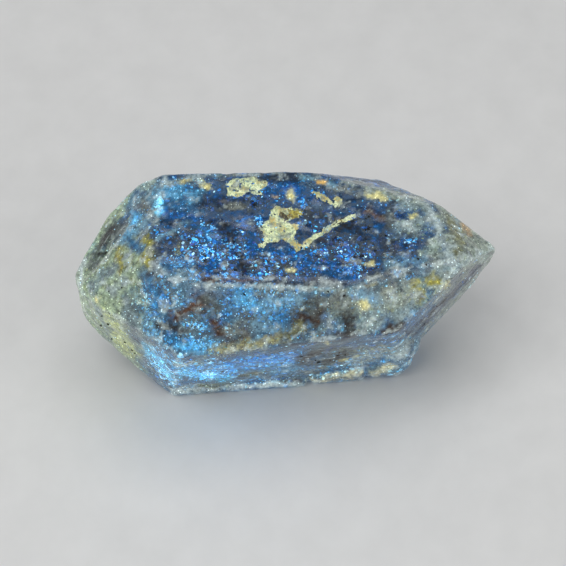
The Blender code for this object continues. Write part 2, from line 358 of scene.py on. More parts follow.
# Where flakes gather. A name gives the mixture of the rows below it: from x, y to x, y and
# radius in pixels, how many, and smallest size, largest size and greatest depth in
# hundredths of a millimetre.
GATHERINGS = (
    "gaps",
    (185, 240, 255, 250, 20, 260, 12, 40, 110), (195, 266, 300, 262, 15, 240, 12, 36, 110),
    (290, 256, 390, 252, 20, 260, 12, 36, 110), (205, 204, 250, 205, 8, 120, 12, 36, 90),
    (262, 180, 300, 178, 6, 80, 12, 36, 90), (300, 214, 352, 224, 9, 130, 12, 36, 90),
    (345, 226, 395, 236, 10, 160, 12, 36, 90), (160, 318, 215, 318, 12, 140, 12, 34, 90),
    (295, 318, 350, 322, 10, 130, 12, 34, 90), (300, 362, 350, 356, 8, 110, 12, 34, 90),
    "dense blue",
    (185, 240, 250, 250, 20, 900, 5, 20, 60), (195, 268, 300, 264, 15, 900, 5, 20, 60),
    (305, 258, 372, 262, 17, 600, 5, 18, 60),
    "deep blue",
    (215, 200, 330, 190, 14, 320, 4, 14, 90), (300, 215, 350, 240, 15, 260, 4, 14, 80),
    (370, 236, 412, 256, 15, 260, 4, 12, 80), (170, 215, 198, 217, 4, 60, 6, 16, 50),
    "white cyan",
    # Bright white flakes at 160, 205 make a painted glint
    (160, 197, 160, 213, 3.5, 50, 8, 20, 40), (258, 218, 260, 224, 4, 40, 6, 14, 40),
    (203, 244, 204, 256, 6, 50, 4, 12, 40),
    "bright blue",
    (228, 250, 244, 251, 7, 70, 6, 15, 40),
    "white cyan",
    (210, 228, 213, 227, 2.5, 12, 6, 12, 30),
    "cyan",
    (172, 267, 181, 266, 3, 20, 6, 14, 30),
    "white cyan",
    (224, 275, 229, 274, 2.5, 14, 6, 14, 30), (208, 274, 212, 273, 1.8, 8, 5, 10, 30),
    "cyan",
    (165, 262, 190, 258, 8, 90, 4, 10, 50),
    "white cyan",
    (404, 241, 415, 240, 3, 26, 6, 14, 30),
    "bright blue",
    (410, 251, 412, 252, 2.2, 10, 6, 12, 30), (342, 270, 358, 268, 5, 70, 7, 16, 40),
    (393, 274, 399, 273, 4, 30, 7, 16, 40), (405, 278, 414, 276, 2.5, 20, 6, 14, 40),
    (300, 198, 306, 208, 4, 40, 6, 14, 40),
    "cyan",
    (133, 218, 137, 224, 3.5, 24, 6, 14, 40), (142, 290, 160, 345, 13, 420, 4, 11, 60),
    "pale blue",
    (178, 296, 205, 320, 14, 130, 4, 12, 70),
    "bright blue",
    (225, 296, 300, 305, 15, 420, 3, 10, 70),
    "cyan",
    (180, 342, 214, 346, 9, 260, 4, 13, 50), (186, 325, 204, 327, 5, 80, 5, 13, 40),
    "pale blue",
    (265, 322, 325, 330, 14, 160, 4, 10, 70), (355, 292, 372, 302, 6, 50, 5, 12, 40),
    "white cyan",
    (148, 355, 172, 382, 7, 260, 5, 14, 40),
    "cyan",
    (180, 375, 226, 377, 5, 170, 5, 13, 40),
    "white cyan",
    # Bright white flakes at 200, 376 make a painted glint
    (200, 376, 215, 375, 3.4, 90, 10, 26, 30),
    "bright blue",
    (248, 361, 302, 354, 6, 220, 5, 12, 50),
    "pale blue",
    (190, 382, 262, 374, 5, 100, 4, 10, 50),
    "seam",
    (190, 282, 310, 287, 0.8, 110, 4, 9, 12), (310, 287, 342, 291, 0.8, 30, 4, 9, 12),
    "haze",
    (150, 290, 230, 330, 18, 500, 5, 17, 80), (230, 300, 296, 314, 18, 420, 5, 17, 80),
    "warm grey",
    (310, 312, 375, 316, 17, 420, 5, 17, 80), (385, 305, 440, 288, 14, 300, 5, 16, 70),
    (400, 215, 460, 250, 16, 300, 5, 15, 70), (300, 180, 410, 198, 8, 240, 5, 15, 60),
    "haze",
    (150, 184, 200, 182, 6, 120, 5, 15, 60), (135, 215, 165, 235, 12, 160, 5, 15, 60),
    "warm grey",
    (88, 285, 118, 240, 14, 240, 5, 15, 60), (100, 310, 132, 345, 10, 260, 5, 15, 60),
    "cyan",
    (150, 352, 175, 378, 9, 220, 5, 16, 80), (180, 368, 232, 372, 7, 380, 6, 22, 80),
    "bright blue",
    (215, 368, 300, 357, 7, 560, 7, 24, 90),
    "haze",
    (300, 366, 350, 356, 8, 220, 5, 17, 90),
    "warm grey",
    (350, 360, 400, 350, 9, 260, 5, 17, 80),
    "haze",
    (150, 362, 300, 374, 13, 450, 6, 26, 120), (300, 370, 400, 352, 12, 350, 6, 26, 120),
    "gaps",
    (419, 328, 474, 272, 3.5, 160, 6, 24, 40),
    "pale rim",
    # Flakes along the bottom outline, partly painted rim light
    (172, 387, 296, 382, 2.5, 160, 5, 13, 30), (310, 378, 360, 371, 2.5, 110, 5, 13, 30),
    "cream",
    (200, 356, 280, 341, 5, 200, 5, 12, 60),
    "bitumen",
    (304, 362, 347, 353, 6, 260, 10, 34, 30),
    # Thin strokes of bright flakes at the lower left: painted glints
    "white cyan",
    (148, 349, 171, 381, 0.5, 60, 5, 10, 15), (152, 346, 172, 374, 0.5, 54, 5, 10, 15),
    (158, 348, 173, 366, 0.6, 44, 5, 11, 15),
    "cyan",
    (145, 352, 162, 379, 0.5, 44, 5, 10, 15),
    "white cyan",
    (164, 353, 175, 363, 0.5, 22, 5, 10, 15),
    "cyan",
    (156, 366, 176, 388, 0.6, 36, 5, 10, 15),
    "bitumen",
    (340, 226, 370, 237, 4.5, 255, 6, 32, 40), (367, 214, 383, 218, 4.5, 165, 6, 29, 50),
    (403, 276, 414, 269, 2, 60, 5, 19, 30),
    "deep blue",
    (398, 207, 398, 214, 3.5, 40, 6, 16, 40),
    "black",
    (222, 229, 233, 236, 6, 105, 5, 26, 40), (236, 243, 247, 243, 4, 66, 6, 26, 40),
    (240, 258, 244, 269, 4.5, 90, 5, 22, 40), (217, 246, 222, 246, 2.5, 24, 5, 19, 40),
    "bitumen",
    (168, 233, 212, 222, 1.3, 75, 5, 19, 40), (298, 325, 323, 314, 4.6, 240, 6, 24, 30),
    (347, 315, 350, 332, 4.5, 140, 6, 22, 40),
    "rust",
    (385, 331, 401, 327, 4.4, 200, 6, 26, 30),
    "bitumen",
    (324, 366, 347, 352, 5, 280, 6, 27, 40),
    "rust",
    (302, 361, 317, 354, 6, 220, 6, 26, 40), (180, 316, 204, 301, 5, 300, 5, 22, 30),
    (240, 378, 275, 373, 4, 120, 5, 16, 50),
    "bitumen",
    (160, 325, 173, 326, 3.5, 66, 5, 21, 40),
    "rust",
    (214, 326, 224, 332, 5, 60, 5, 19, 80), (306, 285, 318, 286, 2.4, 45, 5, 19, 30),
    (345, 289, 358, 287, 2, 39, 5, 19, 30), (200, 279, 217, 279, 1.4, 36, 4, 16, 30),
    "bitumen",
    (250, 373, 261, 371, 2.2, 36, 5, 19, 30), (419, 326, 446, 298, 2.2, 90, 5, 22, 40),
    (394, 347, 401, 347, 1.8, 24, 4, 16, 30), (100, 245, 112, 230, 3, 60, 5, 19, 30),
    (452, 230, 454, 240, 2, 30, 4, 16, 30), (460, 243, 462, 249, 2, 24, 4, 16, 30),
    (463, 258, 464, 262, 1.4, 15, 4, 14, 30),
    "rust",
    (415, 296, 421, 300, 3, 36, 5, 19, 30),
    "yellow",
    (416, 284, 434, 282, 5, 60, 5, 12, 40), (203, 184, 209, 187, 4, 60, 8, 18, 30),
    (180, 182, 190, 181, 2.2, 36, 7, 16, 30), (290, 195, 291, 195, 4.6, 70, 8, 18, 30),
    (317, 182, 325, 183, 2.4, 30, 8, 16, 30), (271, 196, 276, 197, 1.8, 14, 6, 12, 30),
    (366, 194, 371, 194, 3, 30, 7, 15, 30), (376, 195, 385, 197, 3.4, 44, 7, 15, 30),
    (408, 216, 413, 216, 2.4, 26, 7, 15, 30), (366, 264, 374, 264, 2.4, 34, 7, 15, 30),
    (286, 270, 295, 270, 2.4, 32, 7, 15, 30), (175, 252, 180, 254, 3.4, 26, 6, 14, 30),
    (224, 240, 226, 239, 1.2, 5, 5, 10, 30), (144, 238, 145, 258, 3.4, 50, 5, 13, 30),
    (443, 284, 450, 284, 3, 40, 7, 15, 30), (443, 299, 449, 296, 1.6, 18, 6, 13, 30),
    (323, 343, 330, 343, 1.8, 18, 6, 14, 30), (339, 360, 347, 359, 2.4, 26, 6, 14, 30),
    (354, 357, 358, 356, 1.8, 12, 6, 13, 30), (175, 363, 184, 363, 2, 20, 5, 12, 30),
    (199, 365, 203, 364, 1.5, 10, 5, 11, 30), (222, 351, 262, 345, 5, 40, 4, 10, 60),
    (362, 300, 364, 304, 3, 18, 5, 13, 30), (96, 298, 98, 300, 1.6, 10, 6, 14, 20),
)

# Single black specks: pixel, and radius in millimetres
SPECKS = (
    (122, 288, 0.14), (109, 291, 0.12), (102, 316, 0.13), (109, 313, 0.1), (101, 325, 0.15),
    (108, 324, 0.15), (125, 342, 0.15), (132, 350, 0.12), (135, 353, 0.15), (112, 339, 0.1),
    (106, 253, 0.16), (96, 246, 0.12), (418, 259, 0.15), (426, 265, 0.13), (386, 236, 0.15),
    (328, 292, 0.14), (344, 296, 0.14), (244, 294, 0.16), (243, 275, 0.13), (117, 281, 0.07),
)

# Flakes in each black speck, how deep they sink in parts of its radius, and their tilt
SPECK_LAYERS = 3
SPECK_SINK = 0.15
SPECK_TILT = 2.0

# Flakes under the whole skin, also on the sides that the photograph hides, in millimetres
ALL_OVER_COUNT = 3000
ALL_OVER_SIZES = (0.04, 0.2)
ALL_OVER_DEPTHS = (0.1, 1.1)
CLUMP_SIZES = (1.4, 0.5)
CLUMP_LEVELS = (-0.5, 0.6)
END_ZONE = 9.5

# Clusters on the sides that the photograph hides: how many of each mixture, flakes in each,
# radius in millimetres
HIDDEN_CLUSTERS = {
    "dense blue": 9, "cyan": 4, "bitumen": 7, "rust": 5, "yellow": 8, "pale rim": 5, "gaps": 6,
}
CLUSTER_FLAKES = 60
CLUSTER_RADII = (0.35, 1.2)
CLUSTER_SIZES = (0.06, 0.26)
CLUSTER_DEPTHS = (0.03, 0.25)

# Outlines of the oil films, in pixels
MAIN_FILM = (
    (277.5, 204.5), (282, 208), (287, 207.5), (294, 208.5), (301, 209), (303, 213.5), (298, 217.5),
    (292, 219), (286.5, 222.5), (291, 223.5), (299.5, 223.5), (296.5, 232.5), (294, 240.5),
    (297.5, 240.5), (302, 246), (301, 251), (295.5, 251), (293, 247), (286.5, 241.5), (281.5, 239.5),
    (275, 244), (268, 243), (263.5, 248.5), (258, 247.5), (257, 245), (264.5, 241.5), (262.5, 234),
    (259, 227), (266, 222), (269.5, 216.5), (270.5, 210), (275, 205.5),
)
STREAK_FILM = (
    (301, 245), (311, 236), (322, 229.5), (335, 221), (347, 216), (356, 213.5), (358, 217),
    (349, 221), (338, 225.5), (325, 234), (314, 240.5), (304, 250),
)
TOP_FILM = (
    (226.5, 181.5), (236, 178.5), (248, 177), (254.5, 176.5), (259, 179.5), (267, 181.5),
    (269.5, 184.5), (263.5, 188), (259, 190), (263.5, 195), (254.5, 196), (251, 192.5), (246, 192),
    (243.5, 196), (235.5, 197), (227, 195),
)
CORNER_FILM = (
    (311.5, 191.5), (319.5, 192), (326, 196.5), (332, 199.5), (337.5, 196), (343.5, 199.5),
    (341, 205.5), (335.5, 207.5), (327.5, 203), (319.5, 200.5), (314.5, 195.5),
)
OCHRE_FILM = (
    (288, 209), (294, 208.5), (302.5, 209), (303, 213.5), (298, 217.5), (292, 218.5), (288, 216),
)
GAP_FILM = (
    (279.5, 213.5), (284, 212.5), (288, 214.5), (290, 218), (285, 220.5), (280.5, 218),
)

# Each film: outline, depth in millimetres, how full of holes it is, and its colours
FILMS = {
    "oil_film_main": (MAIN_FILM, 0.12, 0.45, "pale"),
    "oil_film_streak": (STREAK_FILM, 0.12, 0.4, "pale"),
    "oil_film_top": (TOP_FILM, 0.12, 0.64, "pale"),
    "oil_film_corner": (CORNER_FILM, 0.12, 0.62, "pale"),
    "oil_film_ochre": (OCHRE_FILM, 0.06, 0.5, "ochre"),
    "oil_film_gap": (GAP_FILM, 0.05, 0.5, "dark"),
}

# Colours of a film: main, blotches, grain
FILM_COLOURS = {
    "pale": ((244, 238, 190), (204, 172, 98), (168, 170, 128)),
    "ochre": ((190, 172, 84), (150, 112, 44), (120, 104, 50)),
    "dark": ((84, 66, 34), (46, 38, 26), (104, 86, 44)),
}

# Squares and margin of a film in pixels, and its thickness in millimetres
FILM_STEP = 0.7
FILM_MARGIN = 2
FILM_THICKNESS = 0.04

# Waves of a film: size in pixels and height in millimetres
FILM_WAVES = (5, 0.06)
# Ragged rims of the films: size of the waves and reach in pixels, and layer of the noise
FRAYS = ((4, 2.2, 1.0), (1.8, 1.1, 4.0))
# Holes in the films: width and height in pixels, and layer of the noise
HOLES = (3.1, 2.4, 7.0)


def camera_axes():
    """Directions to the right, up and back towards the camera."""
    turn = math.radians(AZIMUTH)
    rise = math.radians(ELEVATION)
    level = math.cos(rise)
    back = Vector((math.sin(turn) * level, -math.cos(turn) * level, math.sin(rise)))
    right = Vector((math.cos(turn), math.sin(turn), 0.0))
    return right, back.cross(right), back


RIGHT, UP, BACK = camera_axes()
EYE = (TARGET + BACK * DISTANCE) * MM


def make_camera():
    """The camera at the photograph's viewing angle."""
    data = bpy.data.cameras.new("photo_view")
    data.lens = LENS
    data.sensor_width = SENSOR
    data.clip_start = 0.01
    data.clip_end = 10.0
    camera = bpy.data.objects.new("photo_view", data)
    axes = Matrix((RIGHT, UP, BACK)).transposed().to_4x4()
    camera.matrix_world = Matrix.Translation(EYE) @ axes
    bpy.context.scene.collection.objects.link(camera)
    bpy.context.scene.camera = camera


def link(name, mesh):
    """A new object for a mesh."""
    piece = bpy.data.objects.new(name, mesh)
    bpy.context.scene.collection.objects.link(piece)
    return piece


def applied(piece):
    """Apply a piece's modifiers."""
    depsgraph = bpy.context.evaluated_depsgraph_get()
    mesh = bpy.data.meshes.new_from_object(piece.evaluated_get(depsgraph))
    piece.modifiers.clear()
    old = piece.data
    piece.data = mesh
    bpy.data.meshes.remove(old)


# Places marked on the photograph


def pixel_ray(x, y):
    """Direction from the camera through a pixel of the photograph."""
    scale = SENSOR / LENS / PHOTO_PIXELS
    middle = PHOTO_PIXELS / 2
    return (RIGHT * (x - middle) * scale - UP * (y - middle) * scale - BACK).normalized()


def on_skin(x, y):
    """The point of the skin at a pixel, with its outward normal."""
    point, normal, _, _ = SURFACE.ray_cast(EYE, pixel_ray(x, y))
    return point, normal


def inside(x, y, depth):
    """The point that shows at a pixel through the skin, this many millimetres below it."""
    ray = pixel_ray(x, y)
    point, normal, _, _ = SURFACE.ray_cast(EYE, ray)
    if point is None:
        return None, None
    bend = 1.0 / QUARTZ_IOR
    facing = -normal.dot(ray)
    rest = 1.0 - bend * bend * (1.0 - facing * facing)
    bent = (ray * bend + normal * (bend * facing - math.sqrt(rest))).normalized()
    return point + bent * depth * MM / max(0.3, -bent.dot(normal)), normal


def pixel_of(spots):
    """Where places of the crystal show in the photograph."""
    offset = spots - np.array(EYE) / MM
    ahead = -offset @ np.array(BACK)
    scale = LENS / SENSOR * PHOTO_PIXELS / ahead
    x = PHOTO_PIXELS / 2 + offset @ np.array(RIGHT) * scale
    y = PHOTO_PIXELS / 2 - offset @ np.array(UP) * scale
    return x, y


def within(x, y, outline):
    """Whether a pixel lies inside an outline."""
    odd = False
    for (x1, y1), (x2, y2) in zip(outline, outline[1:] + outline[:1]):
        if (y1 > y) != (y2 > y) and x < (x2 - x1) * (y - y1) / (y2 - y1) + x1:
            odd = not odd
    return odd


# Noise


def noise_at(spots, scale, octaves, stretch=(1, 1, 1)):
    """Fractal noise at many places, about -1 to 1, for a grain size in millimetres."""
    scaled = spots * (1 / (scale * np.array(stretch)))
    return np.array([noise.fractal(Vector(spot), 1.0, 2.0, octaves) for spot in scaled])


def drift(spot):
    """A noise direction at a place, the same in every run."""
    return Vector([noise.noise(spot + offset) for offset in DRIFT_OFFSETS])


def push(spots, scale):
    """Noise directions at many places, for ragged edges."""
    return np.array([drift(Vector(spot) / scale) for spot in spots])


def smooth_step(values, low, high):
    """0 below low, 1 above high, and a smooth rise between them."""
    share = np.clip((values - low) / (high - low), 0, 1)
    return share * share * (3 - 2 * share)


# Skin of the crystal


def skin_mesh():
    """The crystal's faces as an even, fine mesh with softened edges."""
    piece = link("crystal_skin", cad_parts[NODE].data.copy())
    piece.data.materials.clear()
    remesh = piece.modifiers.new("even faces", "REMESH")
    remesh.mode = "VOXEL"
    remesh.voxel_size = VOXEL * MM
    remesh.use_smooth_shade = True
    soften = piece.modifiers.new("soft edges", "SMOOTH")
    soften.iterations = SMOOTHING_STEPS
    soften.factor = 0.5
    applied(piece)
    return piece


def vertex_vectors(mesh, what):
    """Places or normals of a mesh's vertices, as an array of rows."""
    values = np.empty(len(mesh.vertices) * 3)
    mesh.vertices.foreach_get(what, values)
    return values.reshape(-1, 3)


def weather(piece):
    """Lumps, growth lines across the prism faces, and a flat resting face."""
    mesh = piece.data
    places = vertex_vectors(mesh, "co")
    normals = vertex_vectors(mesh, "normal")
    spots = places / MM
    lumps = noise_at(spots, RELIEF_SCALE, 3)
    lines = noise_at(spots, LINE_SPACING, 1, stretch=(1, LINE_STRETCH, LINE_STRETCH))
    prism = 1.0 - np.clip(np.abs(normals[:, 0]) * PRISM_SLOPE, 0, 1)
    lift = RELIEF * lumps + GROWTH_LINES * prism * lines
    above_rest = np.clip(spots[:, 2] / REST_FADE, 0, 1)
    places += normals * (lift * above_rest * MM)[:, None]
    places[:, 2] = np.maximum(places[:, 2], 0.0)
    mesh.vertices.foreach_set("co", places.ravel())
    mesh.update()


def along_view(spots):
    """Places along the camera's axes, squeezed in depth so paint keeps its shape on slopes."""
    axes = np.array([RIGHT, UP, BACK / DEPTH_STRETCH])
    return spots @ axes.T


def rise_above_surroundings(mesh, spots, normals):
    """How far each place stands out of the skin around it."""
    ends = np.empty(len(mesh.edges) * 2, dtype=np.int64)
    mesh.edges.foreach_get("vertices", ends)
    first, second = ends.reshape(-1, 2).T
    neighbours = np.bincount(ends, minlength=len(spots))[:, None]
    around = spots.copy()
    for _ in range(RIDGE_STEPS):
        total = np.zeros_like(around)
        np.add.at(total, first, around[second])
        np.add.at(total, second, around[first])
        around = (around + total / neighbours) / 2
    return ((spots - around) * normals).sum(axis=1)


def away_from_segment(spots, start, end):
    """Distance of each place from a line between two points."""
    along = end - start
    length = max(along.dot(along), 1e-9)
    share = np.clip((spots - start) @ along / length, 0, 1)
    return np.linalg.norm(spots - start - share[:, None] * along, axis=1)


def blend(colours, colour, weights):
    """Move colours towards one colour, by each place's weight."""
    colours += (np.array(linear(colour)) - colours) * weights[:, None]


def paint_zones(spots, normals, grain):
    """Colours and milkiness of the sides, the upper faces and the two ends."""
    broad = grain["broad"]
    middle = grain["middle"]
    fine = grain["fine"]
    streaks = grain["streaks"]
    up = smooth_step(normals[:, 2], *UPPER_FACES)

    tint = np.tile(np.array(linear(GREY_BLUE)), (len(spots), 1))
    milk = SIDE_MILK + 0.3 * streaks + 0.2 * fine
    blend(tint, BLUE, smooth_step(broad + 0.4 * middle, *BLUE_PATCHES))
    blend(tint, GREY, smooth_step(0.4 * middle - broad, *GREY_PATCHES))
    blend(tint, COBALT, up)
    blend(tint, NAVY, up * smooth_step(middle + 0.5 * streaks, *NAVY_PATCHES))
    milk -= UPPER_CLEARNESS * up
    blend(tint, BROWN, smooth_step(streaks - 0.5 * broad, *BROWN_STREAKS) * 0.7 * (1 - up))

    left = smooth_step(-spots[:, 0] + 2 * broad + 0.8 * middle, *LEFT_END)
    blend(tint, CELADON, left)
    blend(tint, OLIVE, left * smooth_step(middle, *OLIVE_PATCHES) * 0.35)
    milk += (LEFT_MILK + 0.35 * fine - milk) * left
    right = smooth_step(spots[:, 0] + 2.2 * middle, *RIGHT_END)
    blend(tint, ASH, right)
    milk += (RIGHT_MILK + 0.35 * fine - milk) * right
    return tint, milk


def paint_stains(tint, milk, spots, grain):
    """Ragged stains where the photograph shows them."""
    seen = along_view(spots)
    shifts = push(seen, WARP_SIZE)
    small_shifts = push(seen, WARP_SMALL_SIZE)
    raggedness = 0.4 * grain["fine"] + 0.4 * grain["tiny"]
    for x1, y1, x2, y2, radius, colour, percent in STAINS:
        ends = [on_skin(x1, y1)[0], on_skin(x2, y2)[0]]
        if None in ends:
            continue
        first, last = along_view(np.array(ends) / MM)
        reach = radius * MM_PER_PIXEL
        ragged = seen + shifts * min(WARP, reach * 0.9)
        ragged += small_shifts * min(WARP_SMALL, reach * 0.6)
        gap = away_from_segment(ragged, first, last) / reach
        weight = 1 - smooth_step(gap + raggedness, *STAIN_RIM)
        weight *= 1.05 + 0.3 * grain["middle"] + 0.5 * grain["tiny"]
        weight = np.clip(weight, 0, 1)
        blend(tint, colour, weight)
        milk += (percent / 100 - milk) * weight


def window(spots, normals, outline):
    """1 where the skin lies in front of an outline as the camera sees it, 0 elsewhere."""
    x, y = pixel_of(spots)
    facing = normals @ np.array(BACK) > 0.1
    low = np.min(outline, axis=0)
    high = np.max(outline, axis=0)
    near = facing & (x > low[0]) & (x < high[0]) & (y > low[1]) & (y < high[1])
    share = np.zeros(len(spots))
    for index in np.flatnonzero(near):
        share[index] = within(x[index], y[index], outline)
    return share


def pale_ridges_wear_and_highlight(tint, milk, mesh, spots, normals, grain):
    """Pale, milky ridges and edges: partly wear, partly a painted highlight along the rims."""
    rise = rise_above_surroundings(mesh, spots, normals)
    # Ridges turn pale and milky: partly wear, partly a painted highlight along the rims
    worn_and_highlit = smooth_step(rise + 0.04 * grain["middle"] + 0.02 * grain["fine"], *RIDGE_RISE)
    blend(tint, PALE, worn_and_highlit * 0.6)
    milk += (RIDGE_WEAR_AND_HIGHLIGHT_MILK - milk) * worn_and_highlit * 0.7


def paint_skin(piece):
    """Skin colour and milkiness: broad zones, stains, then ridges of wear and painted highlight."""
    mesh = piece.data
    spots = vertex_vectors(mesh, "co") / MM
    normals = vertex_vectors(mesh, "normal")
    grain = {name: noise_at(spots, *settings) for name, settings in GRAINS.items()}
    tint, milk = paint_zones(spots, normals, grain)
    paint_stains(tint, milk, spots, grain)
    for outline, *_ in FILMS.values():
        milk -= milk * window(spots, normals, outline)
    milk *= 1 - UNDERSIDE_CLEARNESS * smooth_step(-normals[:, 2], *UNDERSIDE)
    pale_ridges_wear_and_highlight(tint, milk, mesh, spots, normals, grain)

    layer = mesh.color_attributes.new("tint", "FLOAT_COLOR", "POINT")
    values = np.column_stack([tint, np.clip(milk, 0, 1)]).astype(np.float32)
    layer.data.foreach_set("color", values.ravel())


# Flakes inside the crystal


class FlakeHeap:
    """Small flat flakes, each a closed lens with an uneven rim, joined in one mesh."""

    def __init__(self):
        self.points = []
        self.faces = []
        self.kinds = []

    def add(self, place, facing, size, kind):
        """One flake of a kind, lying across a direction."""
        side = facing.orthogonal().normalized()
        other = facing.cross(side)
        spin = draw.uniform(0, math.tau)
        length = size * MM
        width = length * draw.uniform(*FLAKE_WIDTHS)
        first = len(self.points)
        self.points.append(place + facing * width * FLAKE_BULGE)
        self.points.append(place - facing * width * FLAKE_BULGE)
        for step in range(RING_POINTS):
            angle = step / RING_POINTS * math.tau
            reach = draw.uniform(*UNEVENNESS)
            along = math.cos(angle) * length * reach
            across = math.sin(angle) * width * reach
            turned = (
                side * (along * math.cos(spin) - across * math.sin(spin))
                + other * (along * math.sin(spin) + across * math.cos(spin))
            )
            self.points.append(place + turned)
        for step in range(RING_POINTS):
            here = first + 2 + step
            after = first + 2 + (step + 1) % RING_POINTS
            self.faces += [(first, here, after), (first + 1, after, here)]
            self.kinds += [kind, kind]

    def piece(self, name):
        """The flakes as one object."""
        mesh = bpy.data.meshes.new(name)
        mesh.from_pydata(self.points, [], self.faces)
        present = sorted(set(self.kinds))
        for kind in present:
            mesh.materials.append(KIND_MATERIALS[kind])
        mesh.polygons.foreach_set("material_index", [present.index(kind) for kind in self.kinds])
        mesh.update()
        return link(name, mesh)


def sunk(place, size):
    """The place, moved inwards where a flake of this size would come out of the skin."""
    near, outwards, _, _ = SURFACE.find_nearest(place)
    depth = (near - place).dot(outwards)
    place = place - outwards * max(0.0, size * KEPT_UNDER * MM - depth)
    place.z = max(place.z, size * KEPT_UP * MM)
    return place


def drop(place, normal, size, kind, tilt=0.75):
    """One flake, roughly across a direction, in the heap that it belongs to."""
    wobble = Vector([draw.gauss(0, 1) for _ in range(3)])
    facing = (normal + wobble.normalized() * tilt).normalized()
    slot = next(slot for slot, kinds in SLOTS.items() if kind in kinds)
    heaps[slot].add(place, facing, size, kind)


def pick(mixture):
    """One kind of flake, by the mixture's shares."""
    shares = MIXTURES[mixture]
    return draw.choices(list(shares), list(shares.values()))[0]


def size_between(smallest, largest):
    """A flake's size in millimetres: many small ones, few large ones."""
    return smallest + (largest - smallest) * draw.random() ** 2


def gather(mixture, x1, y1, x2, y2, radius, count, *hundredths):
    """Flakes in a strip of the photograph, thinning towards its rim."""
    smallest, largest, depth = [value / 100 for value in hundredths]
    for _ in range(count):
        share = draw.random()
        reach = radius * math.sqrt(draw.random()) * draw.uniform(*UNEVENNESS)
        angle = draw.uniform(0, math.tau)
        x = x1 + (x2 - x1) * share + math.cos(angle) * reach
        y = y1 + (y2 - y1) * share + math.sin(angle) * reach
        place, normal = inside(x, y, draw.uniform(SHALLOWEST, depth))
        if place is not None:
            size = size_between(smallest, largest)
            facing = (normal + BACK * FLAKE_LEAN).normalized()
            drop(sunk(place, size), facing, size, pick(mixture))


def gather_all():
    """The gatherings, in the order of their list."""
    for entry in GATHERINGS:
        if isinstance(entry, str):
            mixture = entry
        else:
            gather(mixture, *entry)


def scatter(piece):
    """Flakes under the whole skin, in clumps."""
    mesh = piece.data
    areas = np.empty(len(mesh.polygons))
    mesh.polygons.foreach_get("area", areas)
    totals = np.cumsum(areas)
    large, small = CLUMP_SIZES
    placed = 0
    while placed < ALL_OVER_COUNT:
        index = int(np.searchsorted(totals, draw.random() * totals[-1]))
        face = mesh.polygons[index]
        spot = face.center / MM
        clump = noise.noise(spot / large) + 0.5 * noise.noise(spot / small)
        if clump < draw.uniform(*CLUMP_LEVELS):
            continue
        placed += 1
        place = face.center - face.normal * draw.uniform(*ALL_OVER_DEPTHS) * MM
        if abs(place.x) > END_ZONE * MM:
            mixture = "warm grey"
        else:
            mixture = draw.choice(("dense blue", "pale blue", "pale blue"))
        size = size_between(*ALL_OVER_SIZES)
        drop(sunk(place, size), face.normal, size, pick(mixture))


def cluster_hidden_sides(piece):
    """Clusters of flakes on the sides that the photograph hides."""
    faces = piece.data.polygons
    choices = [face for face in faces if face.normal.dot(BACK) < -0.05 and face.center.z > MM]
    for mixture, amount in HIDDEN_CLUSTERS.items():
        for _ in range(amount):
            middle = draw.choice(choices)
            radius = draw.uniform(*CLUSTER_RADII) * MM
            for _ in range(CLUSTER_FLAKES):
                away = Vector([draw.gauss(0, radius / 2) for _ in range(3)])
                near, normal, _, _ = SURFACE.find_nearest(middle.center + away)
                place = near - normal * draw.uniform(*CLUSTER_DEPTHS) * MM
                size = size_between(*CLUSTER_SIZES)
                drop(sunk(place, size), normal, size, pick(mixture))


def add_specks():
    """Single black specks, each of a few flakes that are turned every way."""
    for x, y, radius in SPECKS:
        place, normal = on_skin(x, y)
        for _ in range(SPECK_LAYERS):
            drop(place - normal * radius * SPECK_SINK * MM, normal, radius, "black", SPECK_TILT)


# Oil films


def frayed(x, y):
    """A pixel, moved by noise."""
    shift = Vector((0, 0, 0))
    for size, reach, layer in FRAYS:
        shift += drift(Vector((x / size, y / size, layer))) * reach
    return x + shift.x, y + shift.y


def torn(x, y, tatters):
    """Whether a film has a hole at a pixel."""
    width, height, layer = HOLES
    return noise.noise(Vector((x / width, y / height, layer))) <= tatters - 1


def oil_film(name, outline, depth, tatters):
    """A thin film of oil with ragged edges, following the face above it."""
    left = min(x for x, _ in outline) - FILM_MARGIN
    top = min(y for _, y in outline) - FILM_MARGIN
    columns = int((max(x for x, _ in outline) + FILM_MARGIN - left) / FILM_STEP)
    rows = int((max(y for _, y in outline) + FILM_MARGIN - top) / FILM_STEP)
    wave_size, wave_height = FILM_WAVES
    bm = bmesh.new()
    corners = {}

    def corner(column, row):
        if (column, row) not in corners:
            x = left + column * FILM_STEP
            y = top + row * FILM_STEP
            wave = noise.noise(Vector((x / wave_size, y / wave_size, depth)))
            place, _ = inside(x, y, depth + wave_height * wave)
            corners[column, row] = bm.verts.new(place)
        return corners[column, row]

    for column in range(columns):
        for row in range(rows):
            x = left + (column + 0.5) * FILM_STEP
            y = top + (row + 0.5) * FILM_STEP
            if within(*frayed(x, y), outline) and not torn(x, y, tatters):
                square = ((0, 0), (0, 1), (1, 1), (1, 0))
                bm.faces.new([corner(column + i, row + j) for i, j in square])
    axes = {"use_axis_x": True, "use_axis_y": True, "use_axis_z": True}
    for _ in range(2):
        rim = [vert for vert in bm.verts if vert.is_boundary]
        bmesh.ops.smooth_vert(bm, verts=rim, factor=0.5, **axes)
    mesh = bpy.data.meshes.new(name)
    bm.to_mesh(mesh)
    bm.free()
    piece = link(name, mesh)
    body = piece.modifiers.new("thickness", "SOLIDIFY")
    body.thickness = FILM_THICKNESS * MM
    body.offset = 0.0
    applied(piece)
    return piece


# Materials


def linear(colour):
    """A colour picked on screen, 0 to 255, as the linear colour that materials use."""
    channels = [value / 255 for value in colour]
    return tuple(
        channel / 12.92 if channel <= 0.04045 else ((channel + 0.055) / 1.055) ** 2.4
        for channel in channels
    )


